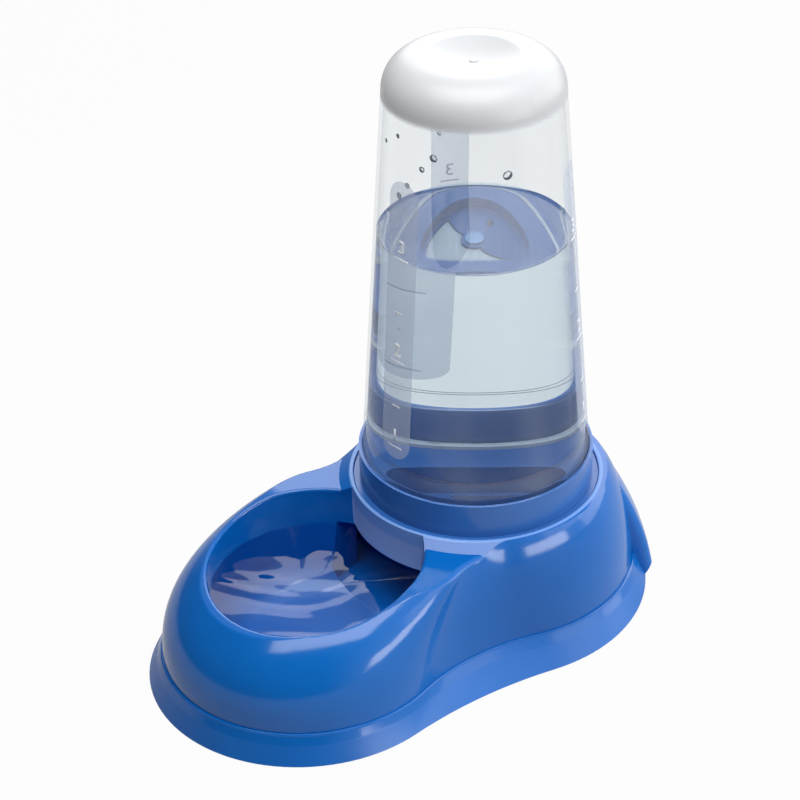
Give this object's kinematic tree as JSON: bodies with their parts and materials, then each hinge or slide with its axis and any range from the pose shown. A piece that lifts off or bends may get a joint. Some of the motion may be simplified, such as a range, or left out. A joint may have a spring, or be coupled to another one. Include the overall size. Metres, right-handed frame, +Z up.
{
  "type": "pet water dispenser",
  "caption": "Gravity water dispenser for a dog or cat: a moulded blue base with a bowl, and a clear reservoir standing upside down in it on a screw cap with a rotary shutter.",
  "frame": {"origin": "middle of the footprint's bounding box, on the floor", "axes": "+Z up, the bowl towards -Y, the reservoir and the carrying grip towards +Y, +X to the right as seen from the bowl"},
  "size_m": [0.24, 0.3774, 0.4002],
  "materials": {
    "base_plastic": "glossy mid blue injection moulding",
    "cap_plastic": "glossy blue injection moulding",
    "clear_plastic": "clear polished plastic, frosted at the crown",
    "inner_plastic": "satin white moulding",
    "seal_rubber": "soft pale grey rubber",
    "foot_rubber": "matt dark rubber"
  },
  "bodies": {
    "base": {"base_shell": "base_plastic", "foot_front_left": "foot_rubber", "foot_front_right": "foot_rubber", "foot_rear_left": "foot_rubber", "foot_rear_right": "foot_rubber"},
    "shutter": {"shutter": "inner_plastic", "shutter_gasket": "seal_rubber", "shutter_pin": "inner_plastic"},
    "cap": {"screw_cap": "cap_plastic"},
    "seal": {"reservoir_seal": "seal_rubber"},
    "reservoir": {"reservoir": "clear_plastic"}
  },
  "joints": [
    {"name": "reservoir_lift", "type": "slide", "parent": "base", "child": "shutter", "axis": [0, 0, 1], "range_m": [0, 0.12]},
    {"name": "selector_turn", "type": "hinge", "parent": "shutter", "child": "cap", "pos_m": [0, 0.06919, 0.0872], "axis": [0, 0, 1], "range_deg": [0, 180]},
    {"name": "unscrew_rise", "type": "slide", "parent": "cap", "child": "seal", "axis": [0, 0, 1], "range_m": [0, 0.0135]},
    {"name": "unscrew_turn", "type": "hinge", "parent": "seal", "child": "reservoir", "pos_m": [0, 0.06919, 0.1], "axis": [0, 0, 1], "range_deg": [0, 540]}
  ],
  "couplings": [
    {"joint": "unscrew_rise", "follows": "unscrew_turn", "m_per_rad": 0.0014324}
  ]
}
